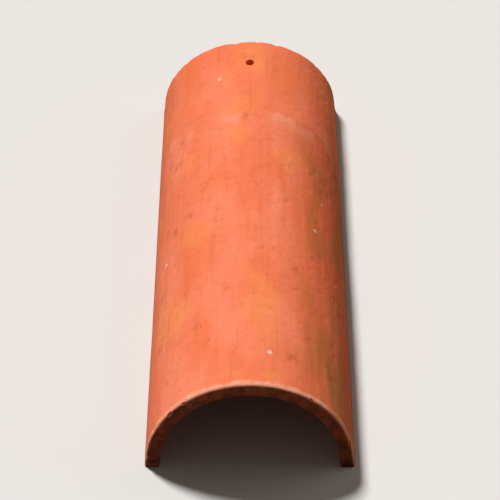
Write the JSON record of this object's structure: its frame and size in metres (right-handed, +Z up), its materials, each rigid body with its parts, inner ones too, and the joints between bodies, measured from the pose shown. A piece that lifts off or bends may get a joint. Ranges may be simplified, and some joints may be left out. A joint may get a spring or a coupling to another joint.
{
  "type": "barrel roof tile",
  "caption": "Tapered half-round clay cover tile for roofs, open underneath: it spans the gap between pan tiles, laps the tile below and is nailed through its crown near the head.",
  "frame": {"origin": "middle of the footprint, on the plane that the two long feet rest on", "axes": "+Y runs along the barrel from the wide nose to the narrow head, which is up the roof when laid; +Z is up out of the crown; X is across the barrel"},
  "size_m": [0.1794, 0.46, 0.095],
  "materials": {
    "terracotta": "matt unglazed fired clay, salmon orange, faintly mottled and weathered"
  },
  "bodies": {
    "root": {"barrel_tile": "terracotta"}
  },
  "joints": []
}
